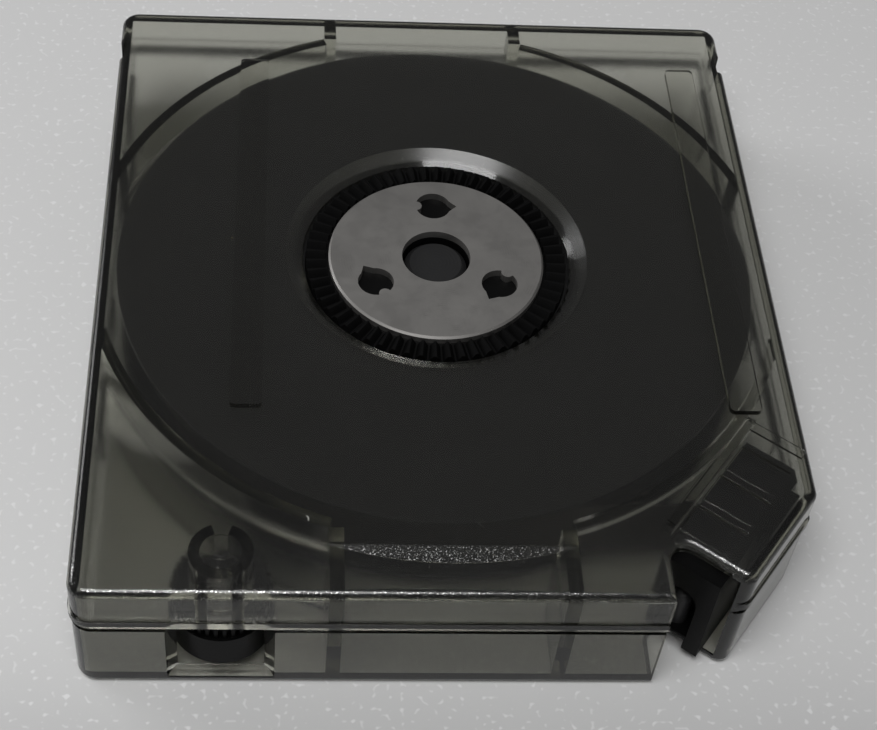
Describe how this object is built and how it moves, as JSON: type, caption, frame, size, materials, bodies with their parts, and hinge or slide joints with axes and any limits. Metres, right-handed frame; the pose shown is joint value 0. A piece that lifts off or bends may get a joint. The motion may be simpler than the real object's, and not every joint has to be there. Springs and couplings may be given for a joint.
{
  "type": "data tape cartridge",
  "caption": "Flat single-reel data tape cartridge with a smoky clear case, hub side up, round hub window and a leader block in its cut corner.",
  "frame": {"origin": "centre of the bounding box's footprint, on the label face that the cartridge lies on", "axes": "+X along the front side, +Y from the front side to the rear side, +Z out of the hub face"},
  "size_m": [0.109, 0.125, 0.0245],
  "materials": {
    "smoke_shell": "smoke-grey clear polycarbonate, fine matte grain on the faces",
    "reel_black": "black moulded, satin",
    "insert_steel": "plain stamped steel, fine wear marks",
    "tape": "wound magnetic tape edge",
    "brake_grey": "dark grey moulded",
    "spring_steel": "bright spring wire and strip",
    "block_black": "black moulded, satin",
    "pin_grey": "dark grey moulded"
  },
  "bodies": {
    "case": {"hub_side_shell": "smoke_shell", "label_side_shell": "smoke_shell", "latch_spring": "spring_steel", "brake_spring": "spring_steel"},
    "reel": {"reel_hub": "reel_black", "hub_side_flange": "reel_black", "drive_insert": "insert_steel", "tape_pack": "tape"},
    "brake": {"brake_button": "brake_grey"},
    "selector": {"selector_wheel": "block_black"},
    "leader": {"leader_block": "block_black", "leader_pin": "pin_grey", "leader_strip": "tape"}
  },
  "joints": [
    {"name": "reel_spin", "type": "hinge", "parent": "case", "child": "reel", "pos_m": [0, 0.0035, 0], "axis": [0, 0, 1], "continuous": true},
    {"name": "brake_press", "type": "slide", "parent": "case", "child": "brake", "axis": [0, 0, -1], "range_m": [0, 0.0034], "stiffness_N_per_m": 400, "springref_m": -0.004, "deforming": ["brake_spring"]},
    {"name": "selector_turn", "type": "hinge", "parent": "case", "child": "selector", "pos_m": [-0.0331, -0.0541, 0], "axis": [0, 0, 1], "range_deg": [0, 150]},
    {"name": "leader_pull", "type": "slide", "parent": "case", "child": "leader", "axis": [-0.6115, -0.7912, 0], "range_m": [0, 0.005]}
  ]
}
